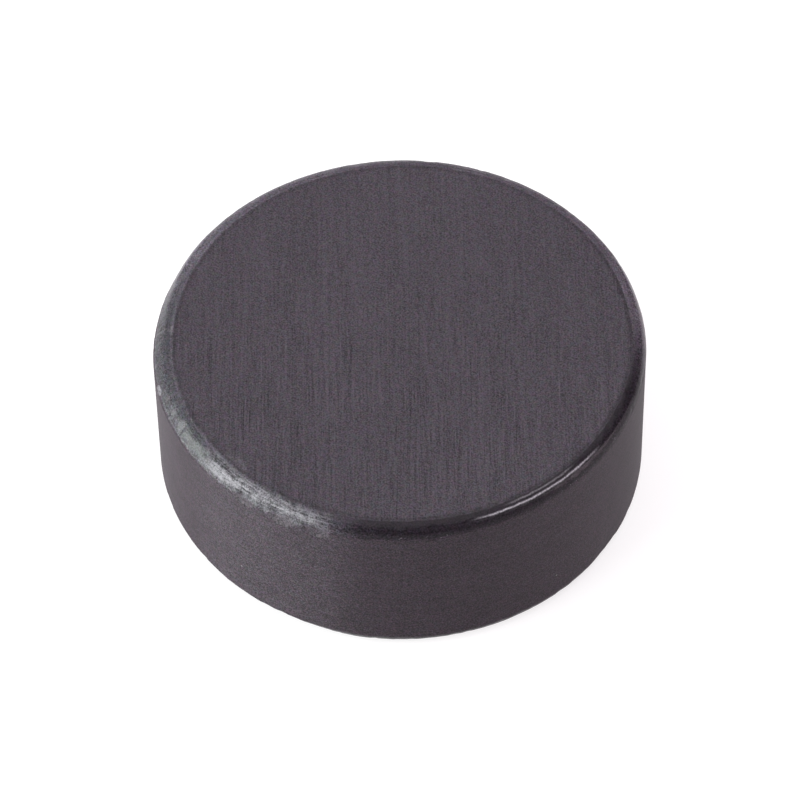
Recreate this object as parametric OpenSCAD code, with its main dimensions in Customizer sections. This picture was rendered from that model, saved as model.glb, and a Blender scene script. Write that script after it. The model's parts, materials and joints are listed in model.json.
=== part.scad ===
// Ceramic disc magnet: one sintered ferrite body, ground on both pole faces and
// round its side wall, with a tumbled round along each rim.
// Millimetres, +Z up. The origin is the centre of the lower pole face.

/* [Magnet] */
// Diameter across the ground side wall
disc_d = 12.7; // [6:0.1:50]
// Thickness between the two ground pole faces
disc_h = 4.76; // [3:0.01:25]
// Radius of the tumbled round along each rim
rim_r = 0.45; // [0.2:0.05:1]

/* [Hidden] */

disc_r = disc_d / 2;
face_r = disc_r - rim_r;
wall_h = disc_h - 2 * rim_r;
ferrite = [0.27, 0.25, 0.28];
round_fn = 64;
sweep_fn = 180;

// Half section of the disc from its axis outwards: the core that reaches both
// pole faces, the waist that reaches the side wall, and the two rim rounds.
module half_section() {
  square([face_r, disc_h]);
  translate([0, rim_r]) square([disc_r, wall_h]);
  for (rim_z = [rim_r, disc_h - rim_r])
    translate([face_r, rim_z]) circle(r = rim_r, $fn = round_fn);
}

// The magnet, which is a single pressed and sintered piece.
module disc_magnet() {
  color(ferrite)
    rotate_extrude($fn = sweep_fn)
      half_section();
}

disc_magnet();
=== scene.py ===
"""Ceramic disc magnet: the tumbled and chipped disc, its ferrite finish, and a light tent.

Laid out as an add-on and run as a script. Sizes are in metres unless a name ends in _mm.
"""

import json
import math

import bpy
from bpy.props import FloatProperty, FloatVectorProperty, IntProperty, PointerProperty
from mathutils import Matrix, Vector


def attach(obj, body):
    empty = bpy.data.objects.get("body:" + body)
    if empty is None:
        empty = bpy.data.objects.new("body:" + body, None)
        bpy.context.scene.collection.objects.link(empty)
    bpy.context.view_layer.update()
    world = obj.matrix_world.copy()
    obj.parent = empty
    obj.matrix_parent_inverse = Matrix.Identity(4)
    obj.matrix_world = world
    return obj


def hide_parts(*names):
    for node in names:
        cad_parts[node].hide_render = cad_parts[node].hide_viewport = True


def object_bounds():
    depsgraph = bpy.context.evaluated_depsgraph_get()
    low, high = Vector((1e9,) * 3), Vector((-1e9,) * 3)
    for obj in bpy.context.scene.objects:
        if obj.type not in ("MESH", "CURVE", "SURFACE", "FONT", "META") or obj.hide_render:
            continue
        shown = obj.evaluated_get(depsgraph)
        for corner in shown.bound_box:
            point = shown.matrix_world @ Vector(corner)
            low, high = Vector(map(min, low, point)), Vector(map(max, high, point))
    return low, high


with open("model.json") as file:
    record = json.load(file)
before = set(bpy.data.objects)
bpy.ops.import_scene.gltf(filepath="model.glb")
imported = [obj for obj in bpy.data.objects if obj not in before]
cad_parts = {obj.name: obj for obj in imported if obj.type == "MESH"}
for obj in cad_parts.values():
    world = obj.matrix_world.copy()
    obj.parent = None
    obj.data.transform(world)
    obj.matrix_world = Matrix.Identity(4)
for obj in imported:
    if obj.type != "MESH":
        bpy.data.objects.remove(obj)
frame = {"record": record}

bl_info = {
    "name": "Ceramic Disc Magnet",
    "version": (1, 0, 0),
    "blender": (4, 5, 0),
    "location": "3D View > Sidebar > Magnet",
    "description": "Builds a worn ferrite disc magnet and the light tent it stands in",
    "category": "Add Mesh",
}

NODE = "disc_magnet"
MM = 0.001
TO_MM = 1000

# Bearings and azimuths are counted from +X towards +Y.
FRONT = -math.pi / 2
BACK = math.pi / 2
CAD_LOW, CAD_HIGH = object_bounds()
DIAMETER = CAD_HIGH.x - CAD_LOW.x
THICKNESS = CAD_HIGH.z - CAD_LOW.z
WALL = next(mount for mount in frame["record"]["mounts"] if mount["name"] == "side_wall")
RIM_RADIUS = (THICKNESS - WALL["dims"]["length_mm"] * MM) / 2

# Nicks struck out of the rims: bearing in degrees, end (1 top, -1 bottom), place across
# the rim (0 at the pole face, 1 at the side wall), half width and depth in millimetres,
# and how pale the broken surface is (0 to 1).
NICKS = (
    (176, 1, 0.06, 0.12, 0.030, 0.15),
    (192, 1, 0.98, 0.10, 0.050, 0.60),
    (201, 1, 0.35, 0.05, 0.015, 0.30),
    (224, 1, 0.00, 0.24, 0.050, 0.05),
    (231, 1, 0.95, 0.22, 0.070, 0.10),
    (241, 1, 0.95, 0.26, 0.080, 0.15),
    (250, 1, 1.00, 0.22, 0.075, 0.10),
    (14, 1, 0.03, 0.10, 0.030, 0.00),
    (82, 1, 0.50, 0.10, 0.030, 0.00),
    (326, -1, 0.75, 0.45, 0.018, 0.00),
    (217, -1, 0.70, 0.35, 0.012, 0.00),
    (250, -1, 0.80, 0.20, 0.010, 0.00),
    (118, -1, 0.60, 0.40, 0.060, 0.10),
    (28, -1, 0.85, 0.28, 0.050, 0.10),
)

# How far apart the two rims and two seeds are in the noise that shapes the wear.
END_GAP_MM = 9
SEED_STEP_MM = 5

# Sets of straight grinding lines on the pole faces: strength, width and length in
# millimetres, lean from the grinding direction as a slope, and the set's own noise shift.
FINE_LINES = ((0.8, 0.045, 1.5, 0.0, 1), (0.5, 0.04, 0.9, 0.06, 5), (0.35, 0.05, 1.2, -0.11, 9))
BROAD_LINES = ((0.6, 0.06, 6.0, 0.0, 13), (0.4, 0.16, 3.5, 0.02, 21), (0.4, 0.7, 7.0, 0.03, 17))

# Sizes of the mottling in millimetres, and its axes.
GRAIN_MM = 0.04
CLUMP_MM = 0.16
TINT_MM = 0.11
MOTTLE_AXES = ((0.80, -0.52, 0.30), (0.36, 0.78, 0.51), (-0.48, -0.35, 0.80))

# Half the table's side and the distance of the lights from the disc, in metres, and the
# colour that the table glows with.
TABLE_HALF = 0.6
LIGHT_DISTANCE = 0.1
GLOW_COLOUR = (1.0, 0.975, 0.99, 1.0)

# The lights: name, azimuth and elevation in degrees, width and height in metres, and
# colour. The stage setting of the same name holds the power.
LIGHTS = (
    ("top_light", 90, 74, 0.14, 0.14, (1.0, 0.96, 0.99)),
    ("left_light", 196, 14, 0.11, 0.05, (0.92, 1.0, 0.96)),
    ("right_light", -12, 12, 0.06, 0.03, (1.0, 0.82, 0.9)),
    ("strip_light", -33, 31, 0.10, 0.004, (1.0, 1.0, 1.0)),
)


# ---------------------------------------------------------------- sizes and colours


class DiscSettings(bpy.types.PropertyGroup):
    """The ground blank and the round that tumbling gives its rims."""

    diameter: FloatProperty(
        name="Diameter", description="Across the ground side wall",
        default=DIAMETER, min=0.006, max=0.05, precision=5, unit="LENGTH")
    thickness: FloatProperty(
        name="Thickness", description="Between the two pole faces",
        default=THICKNESS, min=0.003, max=0.025, precision=5, unit="LENGTH")
    rim_radius: FloatProperty(
        name="Rim Radius", description="Round tumbled along each rim",
        default=RIM_RADIUS, min=0.0002, max=0.001, precision=5, unit="LENGTH")
    halvings: IntProperty(
        name="Halvings", description="Times the points of a ring are halved from the rim to the centre",
        default=7, min=5, max=8)
    ring_step: FloatProperty(
        name="Ring Step", description="Distance between the rings of points over a rim",
        default=0.04 * MM, min=0.02 * MM, max=0.1 * MM, precision=6, unit="LENGTH")


class WearSettings(bpy.types.PropertyGroup):
    """How the rims are worn, knocked and chipped."""

    seed: IntProperty(name="Seed", description="Picks the places of the random wear", default=4, min=0)
    wide_bearing: FloatProperty(
        name="Widest Bearing", description="Side of the disc where the rims are worn widest",
        default=math.radians(132), subtype="ANGLE")
    uneven: FloatProperty(
        name="Uneven Wear", description="How much wider the rim is there than on average",
        default=0.22, min=0.0, max=0.5, subtype="FACTOR")
    knocked_bearing: FloatProperty(
        name="Knocked Bearing", description="Side of the disc that took the hardest knocks",
        default=math.radians(234), subtype="ANGLE")
    flattened_bearing: FloatProperty(
        name="Flattened Bearing", description="Side of the disc where a rim is rubbed flat, not round",
        default=math.radians(205), subtype="ANGLE")
    ragged: FloatProperty(
        name="Ragged Edge", description="How far the edge of a knocked rim wanders",
        default=0.11 * MM, min=0.0, max=0.3 * MM, precision=6, unit="LENGTH")
    chip_size: FloatProperty(
        name="Chip Size", description="Usual distance between small chips",
        default=0.30 * MM, min=0.1 * MM, max=1.0 * MM, precision=6, unit="LENGTH")
    chip_depth: FloatProperty(
        name="Chip Depth", description="Depth of a small chip",
        default=0.045 * MM, min=0.0, max=0.2 * MM, precision=6, unit="LENGTH")
    groove_depth: FloatProperty(
        name="Groove Depth", description="Depth of the grooves worn along the rims",
        default=0.016 * MM, min=0.0, max=0.05 * MM, precision=6, unit="LENGTH")


class FinishSettings(bpy.types.PropertyGroup):
    """Colours and gloss of the sintered ferrite."""

    body: FloatVectorProperty(
        name="Body", description="Ferrite of the ground pole faces", subtype="COLOR", size=3,
        default=(0.0460, 0.0380, 0.0480))
    # Painted shade: the side wall is painted darker than the pole faces, so that it reads less lit than the
    # top.
    wall: FloatVectorProperty(
        name="Wall", description="Ferrite ground round the side wall", subtype="COLOR", size=3,
        default=(0.0240, 0.0161, 0.0228))
    # Painted shade: the rims are painted this dark on the side towards the front right, partly for ferrite
    # rubbed smooth and partly as painted shade.
    burnished: FloatVectorProperty(
        name="Burnished", description="Ferrite rubbed smooth and dark along a rim",
        subtype="COLOR", size=3, default=(0.0125, 0.0090, 0.0130))
    rubbed: FloatVectorProperty(
        name="Rubbed", description="Ferrite rubbed pale along a rim",
        subtype="COLOR", size=3, default=(0.078, 0.066, 0.083))
    burnished_bearing: FloatProperty(
        name="Burnished Bearing", description="Side of the disc where the rims are burnished",
        default=math.radians(303), subtype="ANGLE")
    # Painted sheen: the side where the wall is painted paler, as the left light's reflection falls there.
    sheen_bearing: FloatProperty(
        name="Hazed Bearing", description="Side of the disc where the wall is pale with fine scuffs",
        default=math.radians(237), subtype="ANGLE")
    # Painted highlight: the side where bright lines are painted along the top rim, where the narrow right
    # light's reflection falls.
    painted_highlight_bearing: FloatProperty(
        name="Crest Bearing", description="Side of the disc where the crest of the top rim is rubbed bright",
        default=math.radians(305), subtype="ANGLE")
    dulled: FloatVectorProperty(
        name="Dulled", description="Ferrite rubbed flat and matt along a rim",
        subtype="COLOR", size=3, default=(0.037, 0.0335, 0.040))
    # This pale colour is powdered ferrite, and it also paints the highlights on the rims and the sheen on
    # the wall.
    crushed_and_painted_light: FloatVectorProperty(
        name="Crushed", description="Ferrite powdered by knocks along a rim",
        subtype="COLOR", size=3, default=(0.225, 0.209, 0.232))
    dust: FloatVectorProperty(
        name="Dust", description="Specks of dust and bright grains", subtype="COLOR", size=3,
        default=(0.30, 0.29, 0.30))
    ground_roughness: FloatProperty(
        name="Ground Roughness", description="Roughness of the ground faces",
        default=0.55, min=0.0, max=1.0, subtype="FACTOR")
    rim_roughness: FloatProperty(
        name="Rim Roughness", description="Roughness of a rim that is only rubbed",
        default=0.30, min=0.0, max=1.0, subtype="FACTOR")
    specular: FloatProperty(
        name="Specular Level", description="Strength of the mirror-like part of the reflection",
        default=0.15, min=0.0, max=1.0, subtype="FACTOR")


class StageSettings(bpy.types.PropertyGroup):
    """The camera, the table and the lights of the tent."""

    camera_elevation: FloatProperty(
        name="Camera Elevation", description="Height of the view above the table",
        default=math.radians(50.99), subtype="ANGLE")
    camera_roll: FloatProperty(
        name="Camera Roll", description="Turn of the camera about its own axis",
        default=math.radians(-0.97), subtype="ANGLE")
    camera_distance: FloatProperty(
        name="Camera Distance", description="From the camera to the middle of the disc",
        default=122.4 * MM, precision=4, unit="LENGTH")
    camera_lens: FloatProperty(
        name="Lens", description="Focal length on a 36 mm sensor", default=211.2, min=20.0)
    aim_right: FloatProperty(
        name="Aim Right", description="How far right of the disc's middle the camera points",
        default=-0.010 * MM, precision=6, unit="LENGTH")
    aim_up: FloatProperty(
        name="Aim Up", description="How far above the disc's middle the camera points, across its view",
        default=-0.147 * MM, precision=6, unit="LENGTH")
    table: FloatVectorProperty(
        name="Table", description="Colour of the table", subtype="COLOR", size=3, default=(0.36, 0.36, 0.36))
    table_glow: FloatProperty(
        name="Table Glow", description="Light that the table gives of its own", default=0.72, min=0.0)
    sky: FloatProperty(
        name="Tent", description="Brightness of the tent's cloth", default=0.15, min=0.0)
    top_light: FloatProperty(
        name="Top Light", description="Power of the light above, in watts", default=0.118, min=0.0)
    left_light: FloatProperty(
        name="Left Light", description="Power of the left light, in watts", default=0.27, min=0.0)
    right_light: FloatProperty(
        name="Right Light", description="Power of the right light, in watts", default=0.035, min=0.0)
    strip_light: FloatProperty(
        name="Strip Light", description="Power of the narrow right light, in watts", default=0.03, min=0.0)


class MagnetSettings(bpy.types.PropertyGroup):
    """Everything that a user would change."""

    disc: PointerProperty(type=DiscSettings)
    wear: PointerProperty(type=WearSettings)
    finish: PointerProperty(type=FinishSettings)
    stage: PointerProperty(type=StageSettings)


# ---------------------------------------------------------------- node arithmetic


def is_vector(value):
    """Whether a wire or a plain value has three parts."""
    if isinstance(value, Wire):
        return value.socket.type in {"VECTOR", "RGBA"}
    return isinstance(value, tuple)


class Wire:
    """An output socket that plain arithmetic works on, by adding the nodes for it."""

    def __init__(self, tree, socket):
        self.tree = tree
        self.socket = socket

    def combine(self, operation, other):
        """Adds the math node for one operation, or the vector math node if either value is a vector."""
        kind = "ShaderNodeVectorMath" if is_vector(self) or is_vector(other) else "ShaderNodeMath"
        return add(self.tree, kind, {0: self, 1: other}, operation=operation)

    def __add__(self, other):
        return self.combine("ADD", other)

    __radd__ = __add__

    def __sub__(self, other):
        return self.combine("SUBTRACT", other)

    def __rsub__(self, other):
        return self * -1 + other

    def __mul__(self, other):
        if is_vector(self) == is_vector(other):
            return self.combine("MULTIPLY", other)
        vector, factor = (self, other) if is_vector(self) else (other, self)
        return add(self.tree, "ShaderNodeVectorMath", {0: vector, "Scale": factor}, operation="SCALE")

    __rmul__ = __mul__

    def __truediv__(self, other):
        return self.combine("DIVIDE", other)

    def math(self, operation, *others):
        """Runs any operation of the math node on this wire and the other values."""
        return add(self.tree, "ShaderNodeMath", dict(enumerate((self, *others))), operation=operation)

    def dot(self, other):
        values = {0: self, 1: other}
        return add(self.tree, "ShaderNodeVectorMath", values, out="Value", operation="DOT_PRODUCT")

    def length(self):
        return add(self.tree, "ShaderNodeVectorMath", {0: self}, out="Value", operation="LENGTH")

    def unit(self):
        """The vector scaled to a length of 1."""
        return add(self.tree, "ShaderNodeVectorMath", {0: self}, operation="NORMALIZE")

    def ramp(self, low, high, start=0.0, end=1.0):
        """Eases from start to end as the wire goes from low to high."""
        values = {"Value": self, "From Min": low, "From Max": high, "To Min": start, "To Max": end}
        return add(self.tree, "ShaderNodeMapRange", values, interpolation_type="SMOOTHSTEP")

    def split(self):
        """The x, y and z of a vector, as three wires."""
        node = self.tree.nodes.new("ShaderNodeSeparateXYZ")
        feed(self.tree, node.inputs[0], self)
        return [Wire(self.tree, socket) for socket in node.outputs]


def feed(tree, socket, value):
    """Links a wire to an input, or sets the input to a plain value."""
    if isinstance(value, Wire):
        tree.links.new(value.socket, socket)
    else:
        socket.default_value = value


def add(tree, kind, values=None, out=0, **settings):
    """Adds a node with these settings and inputs, and returns one of its outputs as a wire."""
    node = tree.nodes.new(kind)
    for name, value in settings.items():
        setattr(node, name, value)
    for key, value in (values or {}).items():
        feed(tree, node.inputs[key], value)
    return Wire(tree, node.outputs[out])


def join(tree, x=0.0, y=0.0, z=0.0):
    """A vector from its three parts."""
    return add(tree, "ShaderNodeCombineXYZ", {0: x, 1: y, 2: z})


def noise(tree, place, size_mm, detail=0.0, shift=0.0):
    """Smooth noise about zero, from -1 to 1, with features of one size.

    place is in millimetres. Each use has its own shift, so that no two are alike.
    """
    moved = place + (shift, -shift, 0.5 * shift)
    values = {"Vector": moved, "Scale": 1 / size_mm, "Detail": detail}
    return add(tree, "ShaderNodeTexNoise", values) * 2 - 1


def cells(tree, place, size_mm, shift=0.0):
    """Scattered cells: the distance to a cell's middle in millimetres, and the cell's random number."""
    node = tree.nodes.new("ShaderNodeTexVoronoi")
    feed(tree, node.inputs["Vector"], place + (shift, -shift, 0.5 * shift))
    feed(tree, node.inputs["Scale"], size_mm.math("POWER", -1) if isinstance(size_mm, Wire) else 1 / size_mm)
    pick = Wire(tree, node.outputs["Color"]).split()[0]
    return Wire(tree, node.outputs["Distance"]) * size_mm, pick


def mix(low, high, factor):
    """Goes from low to high as factor goes from 0 to 1. Either may be a wire or plain numbers."""
    if isinstance(low, tuple) and isinstance(high, tuple):
        return factor * tuple(h - l for h, l in zip(high, low)) + low
    return (high - low) * factor + low if isinstance(high, Wire) else (low * -1 + high) * factor + low


# ---------------------------------------------------------------- the disc


def blank_rings(disc):
    """Rings of the sharp-edged ground blank, from the top centre to the bottom centre.

    Each is (radius, height, points). Towards the centre, each ring is smaller by one factor
    and has half the points. The zone beside the sharp edge, where the rim goes, has close rings.
    """
    radius = disc.diameter / 2
    full = 8 * 2 ** disc.halvings
    zone = 1.7 * disc.rim_radius
    steps = round(zone / disc.ring_step)
    shrink = 0.72
    inner = [
        ((radius - zone) * shrink ** halving, disc.thickness, full >> halving)
        for halving in range(disc.halvings, 0, -1)
    ]
    face = [(radius - zone + zone * i / steps, disc.thickness, full) for i in range(steps + 1)]
    wall_steps = 8
    middle = disc.thickness / 2
    upper = [(radius, disc.thickness - zone * i / steps, full) for i in range(1, steps + 1)]
    waist = [
        (radius, disc.thickness - zone - (middle - zone) * i / wall_steps * 2, full)
        for i in range(1, wall_steps // 2 + 1)
    ]
    top = [(0.0, disc.thickness, 1), *inner, *face, *upper, *waist]
    bottom = [(r, disc.thickness - z, points) for r, z, points in reversed(top[:-1])]
    return top + bottom


def stitch(upper, lower):
    """Faces between two rings of point numbers. One may have half the other's points, or be one point."""
    if len(upper) == len(lower):
        count = len(upper)
        return [(upper[i], lower[i], lower[(i + 1) % count], upper[(i + 1) % count]) for i in range(count)]
    if len(upper) > len(lower):
        return [face[::-1] for face in stitch(lower, upper)]
    if len(upper) == 1:
        return [(upper[0], low, lower[(i + 1) % len(lower)]) for i, low in enumerate(lower)]
    faces = []
    for i, near in enumerate(upper):
        far = upper[(i + 1) % len(upper)]
        left, mid, right = lower[2 * i], lower[2 * i + 1], lower[(2 * i + 2) % len(lower)]
        faces += [(near, left, mid), (near, mid, far), (far, mid, right)]
    return faces


def make_blank(disc):
    """The pressed and ground blank: a sharp-edged disc, with its points crowded over the rims."""
    points, faces, above = [], [], []
    for radius, height, count in blank_rings(disc):
        turn = 2 * math.pi / count
        ring = range(len(points), len(points) + count)
        points += [(radius * math.cos(turn * i), radius * math.sin(turn * i), height) for i in range(count)]
        if above:
            faces += stitch(above, ring)
        above = ring
    mesh = bpy.data.meshes.new("worn_disc")
    mesh.from_pydata(points, [], faces)
    mesh.shade_smooth()
    blank = bpy.data.objects.new("worn_disc", mesh)
    bpy.context.collection.objects.link(blank)
    return blank


def make_nick_points(disc):
    """A loose point for each nick, which the wear tree measures from.

    It carries the nick's half width, depth and paleness.
    """
    radius, rim = disc.diameter / 2, disc.rim_radius
    places, widths, depths, pales = [], [], [], []
    for bearing, end, across, width, depth, pale in NICKS:
        turn, lean = math.radians(bearing), (1 - across) * math.pi / 2
        reach = radius - rim + rim * math.cos(lean)
        lift = disc.thickness / 2 - rim + rim * math.sin(lean)
        places.append((reach * math.cos(turn), reach * math.sin(turn), disc.thickness / 2 + end * lift))
        widths.append(width * MM)
        depths.append(depth * MM)
        pales.append(pale)
    mesh = bpy.data.meshes.new("nick_points")
    mesh.from_pydata(places, [], [])
    for name, values in (("width", widths), ("depth", depths), ("pale", pales)):
        mesh.attributes.new(name, "FLOAT", "POINT").data.foreach_set("value", values)
    holder = bpy.data.objects.new("nick_points", mesh)
    bpy.context.collection.objects.link(holder)
    return holder


def wear_inputs(tree):
    face = tree.interface
    face.new_socket("Geometry", in_out="INPUT", socket_type="NodeSocketGeometry")
    for name in ("Radius", "Thickness", "Rim Radius", "Uneven Wear", "Widest Bearing", "Knocked Bearing",
                 "Flattened Bearing", "Ragged Edge", "Chip Size", "Chip Depth", "Groove Depth", "Seed"):
        face.new_socket(name, in_out="INPUT", socket_type="NodeSocketFloat")
    face.new_socket("Nicks", in_out="INPUT", socket_type="NodeSocketObject")
    face.new_socket("Material", in_out="INPUT", socket_type="NodeSocketMaterial")
    face.new_socket("Geometry", in_out="OUTPUT", socket_type="NodeSocketGeometry")
    source = tree.nodes.new("NodeGroupInput")
    return {socket.name: Wire(tree, socket) for socket in source.outputs if socket.name}


def nick_depth(tree, nicks, place, out):
    """How deep the nearest nick cuts at a place, and how pale it is there.

    A nick is longer round the rim than across it, with a ragged outline.
    """
    points = add(tree, "GeometryNodeObjectInfo", {"Object": nicks}, out="Geometry")
    values = {"Geometry": points, "Sample Position": place}
    nearest = add(tree, "GeometryNodeSampleNearest", values, domain="POINT")

    def sample(kind, value):
        values = {"Geometry": points, "Value": value, "Index": nearest}
        return add(tree, "GeometryNodeSampleIndex", values, data_type=kind, domain="POINT")

    def stored(name):
        return add(tree, "GeometryNodeInputNamedAttribute", {"Name": name}, data_type="FLOAT")

    middle = sample("FLOAT_VECTOR", add(tree, "GeometryNodeInputPosition"))
    width, depth = sample("FLOAT", stored("width")), sample("FLOAT", stored("depth"))
    away = place - middle
    along = add(tree, "ShaderNodeVectorMath", {0: out, 1: (0.0, 0.0, 1.0)}, operation="CROSS_PRODUCT")
    squeezed = away - along * (away.dot(along) * 0.45)
    wander = noise(tree, place * TO_MM, 0.16, 2, 43) * 0.5 + 1
    bite = (1 - (squeezed.length() * wander / width).math("POWER", 2)).math("MAXIMUM", 0)
    return bite * depth, bite.ramp(0.0, 0.3) * sample("FLOAT", stored("pale"))


def worn_sides(tree, given, out, end, rim_mm):
    """How far the wear spreads, and where the rims are knocked, flattened and ragged."""

    def bearing(name):
        return join(tree, given[name].math("COSINE"), given[name].math("SINE"))

    lean = out.dot(bearing("Widest Bearing"))
    wide = given["Uneven Wear"] * lean + 1 + noise(tree, rim_mm, 5.0, 1, 3) * 0.08
    facing = out.dot(bearing("Knocked Bearing"))
    struck = (facing + noise(tree, rim_mm, 1.2, 1) * 0.03).ramp(0.945, 0.985)
    patches = noise(tree, rim_mm, 2.6, 1, 1).ramp(0.22, 0.45) * facing.ramp(-0.2, 0.4, 0.5, 0.0)
    knocked = (struck * end.ramp(-1, 1)).math("MAXIMUM", patches)
    flattened = out.dot(bearing("Flattened Bearing")).ramp(0.55, 0.85)
    rubbed = end.ramp(-1, 1) * facing.ramp(-0.2, 0.6, -0.1, 0.3) + 0.4
    ragged = given["Ragged Edge"] * rubbed.math("MAXIMUM", knocked)
    return given["Rim Radius"] * wide, knocked, flattened, ragged


def round_size(tree, rim_mm, spread, ragged):
    """How far the round runs in along the pole face, and how far down the wall."""
    scallop, pick = cells(tree, rim_mm, 0.42, 11)
    bitten = (1 - (scallop / 0.30).math("POWER", 2)).math("MAXIMUM", 0) * pick
    inward = spread * 1.05 + ragged * noise(tree, rim_mm, 0.35, 3, 7) * 0.5
    downward = spread * 0.96 + ragged * (noise(tree, rim_mm, 0.25, 3, 17) * 0.6 + bitten)
    return inward, downward


def rim_bulge(slope, aside, above, flattened):
    """How far the rim stands out, as a share of a plain round.

    A rim keeps a slight ridge half way round, except where it is flattened to a broad facet.
    """
    eighth = math.pi / 8
    fold = ((slope - 2 * eighth).math("ABSOLUTE") - eighth).math("COSINE")
    ridge = mix(1.0, fold.math("POWER", -1) * math.cos(eighth), 0.3)
    facet = mix(1.0, (aside + above).math("POWER", -1), 0.6)
    return mix(ridge, facet, flattened)


def rim_cuts(tree, given, out, lanes, surface, knocked, band):
    """How deep grooves, small chips and nicks cut into the rim, and how pale the nicks are."""
    strength = mix(0.25, 1.0, knocked)
    groove = noise(tree, lanes, 0.3, 1, 23) * given["Groove Depth"] * strength
    chip, chosen = cells(tree, surface * TO_MM, given["Chip Size"] * TO_MM, 31)
    bowl = (1 - (chip / 0.17).math("POWER", 2)).math("MAXIMUM", 0)
    chipped = bowl * chosen.ramp(0.35, 0.8) * given["Chip Depth"] * strength
    struck_out, fresh = nick_depth(tree, given["Nicks"], surface, out)
    return (groove + chipped) * band + struck_out, fresh


def wear_tree():
    """Geometry nodes that tumble, groove and chip the rims of a sharp-edged blank."""
    tree = bpy.data.node_groups.new("Tumbled Rims", "GeometryNodeTree")
    given = wear_inputs(tree)
    x, y, z = add(tree, "GeometryNodeInputPosition").split()
    flat = join(tree, x, y)
    out, reach = flat.unit(), flat.length()
    half = given["Thickness"] / 2
    end, lift = (z - half).math("SIGN"), (z - half).math("ABSOLUTE")

    # A place on the rim that depends only on the bearing, the end and the seed.
    rim_mm = out * (given["Radius"] * TO_MM) + join(tree, z=end * END_GAP_MM + given["Seed"] * SEED_STEP_MM)
    spread, knocked, flattened, ragged = worn_sides(tree, given, out, end, rim_mm)
    inward, downward = round_size(tree, rim_mm, spread, ragged)

    # The core is what the round is laid on: the nearest place that no rim wear reaches.
    core_reach = reach.math("MINIMUM", given["Radius"] - inward)
    core_lift = lift.math("MINIMUM", half - downward)
    aside, above = (reach - core_reach) / inward, (lift - core_lift) / downward
    size = (aside * aside + above * above).math("SQRT")
    aside, above = aside / size, above / size
    slope = above.math("ARCTAN2", aside)
    bulge = rim_bulge(slope, aside, above, flattened)
    height = half + end * (core_lift + downward * above * bulge)
    surface = out * (core_reach + inward * aside * bulge) + join(tree, z=height)

    # The band is 1 over most of the round and 0 at its two edges. The lanes are places
    # stretched along the rim. The lip is where the round meets the pole face.
    band = (aside * above * 2).ramp(0.0, 0.5)
    across_mm = slope * (given["Rim Radius"] * TO_MM)
    lanes = out * (given["Radius"] * 150) + join(tree, z=across_mm * 3 + end * END_GAP_MM)
    lip = ((reach - (given["Radius"] - inward)) / (0.05 * MM)).math("POWER", 2) * -1
    cut, fresh = rim_cuts(tree, given, out, lanes, surface, knocked, band)
    worn = surface - (out * aside + join(tree, z=end * above)) * cut

    shape = given["Geometry"]
    for name, value in (
        ("rim", band),
        ("knocked", knocked * band),
        ("fresh", fresh),
        ("dulled", flattened * band),
        ("around", slope / (math.pi / 2)),
        ("pole", (above - aside).ramp(0.2, 0.6)),
        ("lip", lip.math("EXPONENT")),
    ):
        values = {"Geometry": shape, "Name": name, "Value": value}
        shape = add(tree, "GeometryNodeStoreNamedAttribute", values, data_type="FLOAT", domain="POINT")
    shape = add(tree, "GeometryNodeSetPosition", {"Geometry": shape, "Position": worn})
    shape = add(tree, "GeometryNodeRealizeInstances", {"Geometry": shape})
    shape = add(tree, "GeometryNodeSetMaterial", {"Geometry": shape, "Material": given["Material"]})
    sink = tree.nodes.new("NodeGroupOutput")
    feed(tree, sink.inputs[0], shape)
    return tree


def apply_wear(blank, nicks, material, settings):
    """Runs the wear tree on the blank and keeps the result as a plain mesh."""
    disc, wear = settings.disc, settings.wear
    tree = wear_tree()
    modifier = blank.modifiers.new("Tumbled Rims", "NODES")
    modifier.node_group = tree
    values = {
        "Radius": disc.diameter / 2,
        "Thickness": disc.thickness,
        "Rim Radius": disc.rim_radius,
        "Uneven Wear": wear.uneven,
        "Widest Bearing": wear.wide_bearing,
        "Knocked Bearing": wear.knocked_bearing,
        "Flattened Bearing": wear.flattened_bearing,
        "Ragged Edge": wear.ragged,
        "Chip Size": wear.chip_size,
        "Chip Depth": wear.chip_depth,
        "Groove Depth": wear.groove_depth,
        "Seed": float(wear.seed),
        "Nicks": nicks,
        "Material": material,
    }
    for item in tree.interface.items_tree:
        if item.in_out == "INPUT" and item.name in values:
            modifier[item.identifier] = values[item.name]
    bpy.context.view_layer.update()
    graph = bpy.context.evaluated_depsgraph_get()
    worn = blank.evaluated_get(graph)
    mesh = bpy.data.meshes.new_from_object(worn, preserve_all_data_layers=True, depsgraph=graph)
    blank.modifiers.clear()
    bare = blank.data
    blank.data = mesh
    bpy.data.meshes.remove(bare)
    mesh.name = blank.name
    bpy.data.objects.remove(nicks)
    return blank


# ---------------------------------------------------------------- the finish


def toward(out, bearing, far, near):
    """Goes from 0 to 1 as out turns from far to near degrees away from a bearing."""
    side = (math.cos(bearing), math.sin(bearing), 0.0)
    return out.dot(side).ramp(math.cos(math.radians(far)), math.cos(math.radians(near)))


def bump_line(wire, middle, width):
    """1 where the wire is at the middle value, falling smoothly to 0 either side."""
    return (((wire - middle) / width).math("POWER", 2) * -1).math("EXPONENT")


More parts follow.
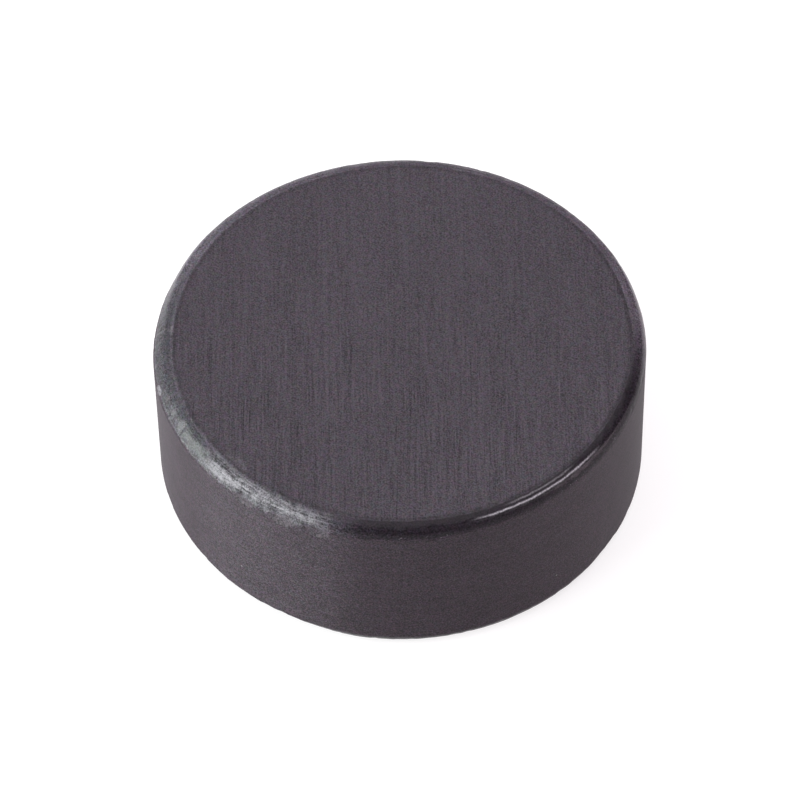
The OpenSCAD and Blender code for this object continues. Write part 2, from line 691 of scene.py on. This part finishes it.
def face_marks(tree, mm):
    """Straight grinding lines on the pole faces, stronger towards the front: tone and height."""
    x, y, z = mm.split()
    end = join(tree, z=z.ramp(1, 3, 0, 40))
    front = (y * -1 + noise(tree, mm, 3.0) * 3).ramp(-4, 3, 0.45, 1.0)

    def lines(width, length, lean, shift):
        """Lines of one width and length that lean from the grinding direction by a slope."""
        slanted = join(tree, x + y * lean, y * (width / length)) + end
        return noise(tree, slanted, width, 2, shift)

    def total(sets):
        """All the sets of lines together, each by its strength."""
        return sum(lines(*shape) * strength for strength, *shape in sets)

    patchy = noise(tree, mm, 1.1, 2, 33) * 1.4 + 1
    light = lines(0.05, 3.0, 0.02, 25).ramp(0.22, 0.6)
    dark = lines(0.06, 2.4, -0.03, 29).ramp(0.22, 0.6)
    fine = total(FINE_LINES) * patchy + light * 0.8 - dark * 0.8
    tone = fine * front * 0.55 + total(BROAD_LINES) * 0.3
    return tone, fine * front


def wall_marks(tree, mm, out):
    """Fine grinding lines that run round the side wall, and soft blotches: tone and height."""
    level = join(tree, z=mm.split()[2])
    fine = noise(tree, out * 0.6 + level, 0.07, 2, 2)
    longer = noise(tree, out * 0.25 + level, 0.16, 1, 6)
    blotches = noise(tree, mm, 0.9, 2, 8)
    return fine * 0.25 + longer * 0.12 + blotches * 0.2, fine * 0.6 + longer * 0.4


def rim_marks(tree, mm, out):
    """Grooves and scratches that run along a worn rim."""
    level = (mm.split()[2] - THICKNESS / MM / 2).math("ABSOLUTE")
    across = join(tree, z=level - (mm * (1.0, 1.0, 0.0)).length())
    return noise(tree, out * 0.9 + across, 0.05, 2, 4) * 0.7 + noise(tree, out * 0.35 + across, 0.09, 1, 12)


def pale_marks(tree, mm, out, worn, finish):
    """How much of the surface is painted pale: powder on the knocked rim, nicks, specks, and painted
    highlight lines along the rims.
    """
    around, lanes, grain, clumps, burnished = (
        worn[name] for name in ("around", "lanes", "grain", "clumps", "burnished"))
    across = (around - 0.5).math("ABSOLUTE").ramp(0.12, 0.48, 1.0, 0.25)
    powder = (lanes * 1.3 + grain * 0.9 + clumps * 0.9).ramp(-0.9, 1.2) * worn["knocked"] * across
    # Painted highlights: bright lines painted along the top rim at the front right and at the back, where
    # the lights' reflections fall.
    main_painted_highlight = toward(out, finish.painted_highlight_bearing, 20, 10) * bump_line(around, 0.60, 0.040) * 1.4
    upper_painted_highlight = toward(out, finish.painted_highlight_bearing, 11, 5) * bump_line(around, 0.80, 0.04) * 0.5
    back_painted_highlight = toward(out, BACK, 85, 60) * bump_line(around, 0.36, 0.05) * 0.35
    crest = main_painted_highlight + upper_painted_highlight + back_painted_highlight
    crest = crest * (grain * 0.9 + 0.95) * mm.split()[2].ramp(2, 3)
    specks = grain.ramp(0.22, 0.5) * clumps.ramp(0.0, 0.35) * bump_line(around, 0.12, 0.14)
    specks = specks * burnished * worn["rim"] * 0.6
    struck = worn["fresh"] * (grain * 0.8 + 0.8)
    return powder.math("MAXIMUM", struck).math("MAXIMUM", crest).math("MAXIMUM", specks)


def dark_marks(tree, mm, out, worn):
    """How much of the surface is darkened: pits, and a broken shadow along the lip of a rim."""
    pit, pick = cells(tree, mm, 0.55, 36)
    pits = (pit / 0.035).ramp(0.5, 1.1, 1.0, 0.0) * pick.ramp(0.70, 0.95)
    broken = (noise(tree, mm, 0.2, 2, 40) + 1).ramp(0.3, 1.2)
    shadow = worn["lip"] * broken * (toward(out, BACK, 80, 30) * -0.3 + 0.45)
    return (pits * 0.6 + shadow).math("MINIMUM", 0.8), pits


def ferrite_material(finish):
    """Sintered ferrite: ground faces and wall, rubbed and knocked rims, grain, dust and pits, with painted
    highlights, painted sheen and painted shade.
    """
    material = bpy.data.materials.new("sintered_ferrite")
    material.use_nodes = True
    tree = material.node_tree
    tree.nodes.clear()
    mm = add(tree, "ShaderNodeTexCoord", out="Object") * TO_MM
    out = (mm * (1.0, 1.0, 0.0)).unit()

    # What the wear tree stored, and the mottling. The mottling's axes are turned, so that
    # the flat faces don't cut straight through its pattern.
    worn = {
        name: add(tree, "ShaderNodeAttribute", out="Fac", attribute_name=name)
        for name in ("rim", "knocked", "fresh", "dulled", "around", "pole", "lip")
    }
    turned = join(tree, *(mm.dot(axis) for axis in MOTTLE_AXES))
    grain = noise(tree, turned, GRAIN_MM, 1, 20)
    clumps = noise(tree, turned, CLUMP_MM, 2, 24)
    green, violet = noise(tree, turned, TINT_MM, 2, 28), noise(tree, turned, TINT_MM, 2, 52)
    lanes = rim_marks(tree, mm, out)
    # Painted shade: the rim colour darkens towards the front right, partly for ferrite rubbed smooth and
    # partly as painted shade.
    burnished = toward(out, finish.burnished_bearing, 66, 38)
    rim = (worn["rim"] + grain * 0.15 + clumps * 0.35).ramp(0.2, 0.8)
    around = worn["around"] + clumps * 0.03
    worn.update(rim=rim, around=around, lanes=lanes, grain=grain, clumps=clumps, burnished=burnished)
    pole, knocked = worn["pole"], worn["knocked"]

    # Colour, from the bare body to what lies on it.
    face_tone, face_height = face_marks(tree, mm)
    wall_tone, wall_height = wall_marks(tree, mm, out)
    ground_tone, ground_height = mix(wall_tone, face_tone, pole), mix(wall_height, face_height, pole)
    tone = mix(ground_tone, lanes * 0.35, rim) + grain * mix(1.9, 1.1, pole) + clumps * 0.15
    shade = (tone + 1).math("MAXIMUM", 0.3)
    tint = green * (-0.20, 0.20, -0.10) + violet * (-0.10, -0.02, 0.20) + (1.0, 1.0, 1.0)
    rim_colour = mix(tuple(finish.rubbed), tuple(finish.burnished), burnished)
    rim_colour = mix(rim_colour, tuple(finish.dulled), worn["dulled"])
    # The wall's colour is darker than the pole faces' as painted shade on the side.
    ground = mix(tuple(finish.wall), tuple(finish.body), pole)
    # Painted sheen: the side wall is painted paler in fine patches towards the front left, where the left
    # light's reflection falls.
    painted_sheen = (noise(tree, mm, 0.8, 2, 60) * 0.6 + 1) * toward(out, finish.sheen_bearing, 27, 7)
    ground = mix(ground, tuple(finish.crushed_and_painted_light), painted_sheen * (1 - pole) * 0.055)
    body = tint * mix(ground, rim_colour, rim) * shade
    speck, pick = cells(tree, mm, 0.62, 32)
    dust = (speck / 0.03).ramp(0.6, 1.1, 1.0, 0.0) * pick.ramp(0.80, 0.98) * 0.5
    # The pale colour covers powder, nicks and specks, and also the painted highlights.
    crushed_and_painted_light = mix(body, tuple(finish.crushed_and_painted_light), pale_marks(tree, mm, out, worn, finish))
    dusty = mix(crushed_and_painted_light, tuple(finish.dust), dust * (1 - rim))
    dark, pits = dark_marks(tree, mm, out, worn)

    # Height in millimetres, and roughness. Seen almost edge on, a pole face scatters more
    # from its grain, so its gloss fades.
    height = mix(ground_height * 0.0009, lanes * mix(0.0012, 0.004, knocked), rim)
    height = height + grain * mix(0.0007, 0.003, knocked) - pits * 0.01
    edge_on = add(tree, "ShaderNodeLayerWeight", {"Blend": 0.5}, out="Facing").ramp(0.84, 0.94) * pole
    rubbed_roughness = mix(finish.ground_roughness, finish.rim_roughness, rim)
    roughness = mix(rubbed_roughness, 0.5, knocked) + grain * 0.04
    values = {
        "Base Color": dusty * (1 - dark),
        "Roughness": mix(roughness, 1.0, edge_on),
        "Normal": add(tree, "ShaderNodeBump", {"Strength": 1.0, "Distance": MM, "Height": height}),
        "Specular IOR Level": finish.specular,
    }
    surface = add(tree, "ShaderNodeBsdfPrincipled", values)
    sink = tree.nodes.new("ShaderNodeOutputMaterial")
    feed(tree, sink.inputs["Surface"], surface)
    return material


# ---------------------------------------------------------------- the stage


def table_material(stage):
    """A pale table that is lit from within, as a light table is."""
    material = bpy.data.materials.new("pale_table")
    material.use_nodes = True
    shader = material.node_tree.nodes["Principled BSDF"]
    shader.inputs["Base Color"].default_value = (*stage.table, 1.0)
    shader.inputs["Roughness"].default_value = 0.9
    shader.inputs["Specular IOR Level"].default_value = 0.1
    shader.inputs["Emission Color"].default_value = GLOW_COLOUR
    shader.inputs["Emission Strength"].default_value = stage.table_glow
    return material


def make_table(stage):
    """A square table top, level with the underside of the disc."""
    mesh = bpy.data.meshes.new("table")
    corners = [(x * TABLE_HALF, y * TABLE_HALF, CAD_LOW.z) for x, y in ((-1, -1), (1, -1), (1, 1), (-1, 1))]
    mesh.from_pydata(corners, [], [(0, 1, 2, 3)])
    mesh.materials.append(table_material(stage))
    table = bpy.data.objects.new("table", mesh)
    bpy.context.collection.objects.link(table)


def aim(thing, back, distance, target, roll=0.0):
    """Puts a light or camera at a distance along back from the target, looking at it."""
    turn = back.to_track_quat("Z", "Y").to_matrix().to_4x4() @ Matrix.Rotation(roll, 4, "Z")
    thing.matrix_world = Matrix.Translation(target + back * distance) @ turn


def direction(azimuth, elevation):
    """A unit vector at an azimuth and an elevation."""
    level = math.cos(elevation)
    return Vector((math.cos(azimuth) * level, math.sin(azimuth) * level, math.sin(elevation)))


def make_light(name, azimuth, elevation, width, height, colour, power, middle):
    """A soft rectangular light that faces the disc."""
    lamp = bpy.data.lights.new(name, "AREA")
    lamp.color = colour
    lamp.shape = "RECTANGLE"
    lamp.size = width
    lamp.size_y = height
    lamp.energy = power
    holder = bpy.data.objects.new(name, lamp)
    bpy.context.collection.objects.link(holder)
    back = direction(math.radians(azimuth), math.radians(elevation))
    aim(holder, back, LIGHT_DISTANCE, middle)


def make_camera(stage, middle):
    """The scene's camera, in front of the disc and above it."""
    lens = bpy.data.cameras.new("camera")
    lens.lens = stage.camera_lens
    lens.sensor_width = 36.0
    lens.clip_start = 0.001
    lens.clip_end = 10.0
    camera = bpy.data.objects.new("camera", lens)
    bpy.context.collection.objects.link(camera)
    back = direction(FRONT, stage.camera_elevation)
    up = Vector((0.0, math.sin(stage.camera_elevation), math.cos(stage.camera_elevation)))
    target = middle + up * stage.aim_up + Vector((stage.aim_right, 0.0, 0.0))
    aim(camera, back, stage.camera_distance, target, stage.camera_roll)
    bpy.context.scene.camera = camera


def make_sky(stage):
    """The even light that the tent's cloth gives from all round."""
    world = bpy.data.worlds.new("tent")
    world.use_nodes = True
    cloth = world.node_tree.nodes["Background"]
    cloth.inputs["Color"].default_value = (1.0, 1.0, 1.0, 1.0)
    cloth.inputs["Strength"].default_value = stage.sky
    bpy.context.scene.world = world


# ---------------------------------------------------------------- operators and panel


class MAGNET_OT_worn_disc(bpy.types.Operator):
    """Builds the worn ferrite disc in place of the plain one"""

    bl_idname = "magnet.worn_disc"
    bl_label = "Worn Disc"

    def execute(self, context):
        settings = context.scene.magnet
        material = ferrite_material(settings.finish)
        blank = make_blank(settings.disc)
        nicks = make_nick_points(settings.disc)
        piece = apply_wear(blank, nicks, material, settings)
        if not piece.data.polygons:
            raise RuntimeError("the wear tree left no faces on the disc")
        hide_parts(NODE)
        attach(piece, "root")
        return {"FINISHED"}


class MAGNET_OT_light_tent(bpy.types.Operator):
    """Sets the table, the lights and the camera round the disc"""

    bl_idname = "magnet.light_tent"
    bl_label = "Light Tent"

    def execute(self, context):
        stage = context.scene.magnet.stage
        middle = (CAD_LOW + CAD_HIGH) / 2
        make_table(stage)
        make_sky(stage)
        for name, *shape in LIGHTS:
            make_light(name, *shape, getattr(stage, name), middle)
        make_camera(stage, middle)
        context.scene.view_settings.view_transform = "Standard"
        return {"FINISHED"}


class MAGNET_PT_panel(bpy.types.Panel):
    """Lists the pieces and their sizes"""

    bl_idname = "MAGNET_PT_panel"
    bl_label = "Ceramic Disc Magnet"
    bl_space_type = "VIEW_3D"
    bl_region_type = "UI"
    bl_category = "Magnet"

    def draw(self, context):
        settings = context.scene.magnet
        for operator, groups in (
            (MAGNET_OT_worn_disc, (settings.disc, settings.wear, settings.finish)),
            (MAGNET_OT_light_tent, (settings.stage,)),
        ):
            box = self.layout.box()
            box.operator(operator.bl_idname)
            for group in groups:
                for name in group.__annotations__:
                    box.prop(group, name)


CLASSES = (
    DiscSettings,
    WearSettings,
    FinishSettings,
    StageSettings,
    MagnetSettings,
    MAGNET_OT_worn_disc,
    MAGNET_OT_light_tent,
    MAGNET_PT_panel,
)


def register():
    """Adds the settings, the operators and the panel to Blender."""
    for cls in CLASSES:
        bpy.utils.register_class(cls)
    bpy.types.Scene.magnet = PointerProperty(type=MagnetSettings)


def unregister():
    """Takes them out again."""
    del bpy.types.Scene.magnet
    for cls in reversed(CLASSES):
        bpy.utils.unregister_class(cls)


def main():
    """Builds the disc and the stage."""
    register()
    bpy.ops.magnet.worn_disc()
    bpy.ops.magnet.light_tent()


if __name__ == "__main__":
    main()
